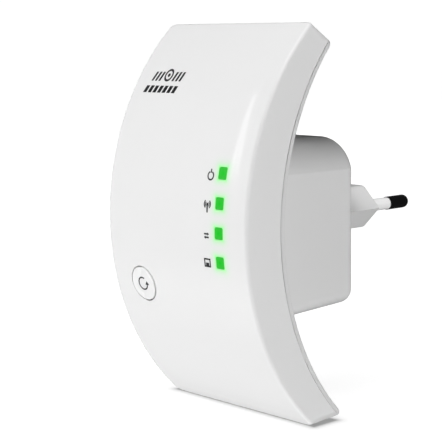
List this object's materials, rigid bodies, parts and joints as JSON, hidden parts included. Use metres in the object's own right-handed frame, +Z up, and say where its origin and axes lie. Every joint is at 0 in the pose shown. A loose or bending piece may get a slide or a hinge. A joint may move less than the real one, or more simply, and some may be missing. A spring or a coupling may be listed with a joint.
{
  "type": "wifi range extender",
  "caption": "Plug-in wifi range extender: tall curved white shell with a pairing button and status lights, plug block with round pins and a network jack behind.",
  "frame": {"origin": "centre of the plug insert end face, midway between the two pins", "axes": "+X to the right for someone facing the front, +Y into the wall along the pins, +Z up"},
  "size_m": [0.0566, 0.0866, 0.1097],
  "materials": {
    "shell_white": "glossy white moulded ABS",
    "button_white": "glossy white moulded ABS",
    "baffle_white": "matt white",
    "light_green": "clear acrylic, lit green from behind",
    "nickel": "bright nickel plate",
    "pin_nickel": "bright nickel-plated brass",
    "sleeve_white": "satin white insulation",
    "board_green": "green solder mask",
    "chip_black": "black moulding compound",
    "switch_black": "black plastic with a steel lid",
    "switch_cap": "cream plastic",
    "tin": "tin-plated sheet",
    "lamp_cream": "cream lamp body",
    "gold": "gold flash",
    "lead_grey": "grey insulation",
    "lead_red": "red insulation",
    "screw_steel": "zinc-plated steel",
    "chip_tan": "fired chip parts",
    "connector_ivory": "ivory nylon",
    "ribbon_white": "white film ribbon",
    "jack_black": "black nylon",
    "can_sleeve": "black shrink sleeve with an aluminium top",
    "ferrite": "dark ferrite",
    "bobbin_black": "black phenolic",
    "tape_yellow": "yellow polyester tape",
    "resistor_green": "green coated resistor",
    "disc_blue": "blue epoxy dip"
  },
  "bodies": {
    "housing": {"antenna_cable_lower": "lead_grey", "antenna_cable_upper": "lead_grey", "antenna_connectors": "gold", "antenna_lower": "board_green", "antenna_upper": "board_green", "bridge_rectifier": "chip_black", "crystal": "nickel", "filter_inductor": "ferrite", "flash_chip": "chip_black", "front_cover": "shell_white", "fuse_resistor": "resistor_green", "input_capacitors": "can_sleeve", "lan_transformer": "chip_black", "light_baffle": "baffle_white", "light_pipe_data": "light_green", "light_pipe_lan": "light_green", "light_pipe_power": "light_green", "light_pipe_wifi": "light_green", "link_cable": "ribbon_white", "link_connectors": "connector_ivory", "main_board": "board_green", "main_board_passives": "chip_tan", "main_board_screws": "screw_steel", "mains_lead_live": "lead_red", "mains_lead_neutral": "lead_grey", "memory_chip": "chip_black", "output_capacitor": "can_sleeve", "pin_left": "pin_nickel", "pin_right": "pin_nickel", "pin_sleeve_left": "sleeve_white", "pin_sleeve_right": "sleeve_white", "plug_insert": "shell_white", "power_board": "board_green", "power_board_passives": "chip_tan", "power_board_screws": "screw_steel", "power_inductor": "ferrite", "rear_cover": "shell_white", "reset_switch_body": "switch_black", "rf_shield": "tin", "rj45_contacts": "gold", "rj45_housing": "jack_black", "status_leds": "lamp_cream", "switching_controller": "chip_black", "transformer_bobbin": "bobbin_black", "transformer_core": "ferrite", "transformer_winding": "tape_yellow", "voltage_regulator": "chip_black", "wifi_processor": "chip_black", "wps_switch_body": "switch_black", "y_capacitor": "disc_blue"},
    "wps_button": {"wps_button": "button_white", "wps_switch_plunger": "switch_cap"},
    "reset_button": {"reset_switch_plunger": "switch_cap"}
  },
  "joints": [
    {"name": "wps_press", "type": "slide", "parent": "housing", "child": "wps_button", "axis": [0, 1, 0], "range_m": [0, 0.0003], "stiffness_N_per_m": 800, "springref_m": -0.001},
    {"name": "reset_press", "type": "slide", "parent": "housing", "child": "reset_button", "axis": [0, 0, 1], "range_m": [0, 0.00025], "stiffness_N_per_m": 800, "springref_m": -0.001}
  ]
}
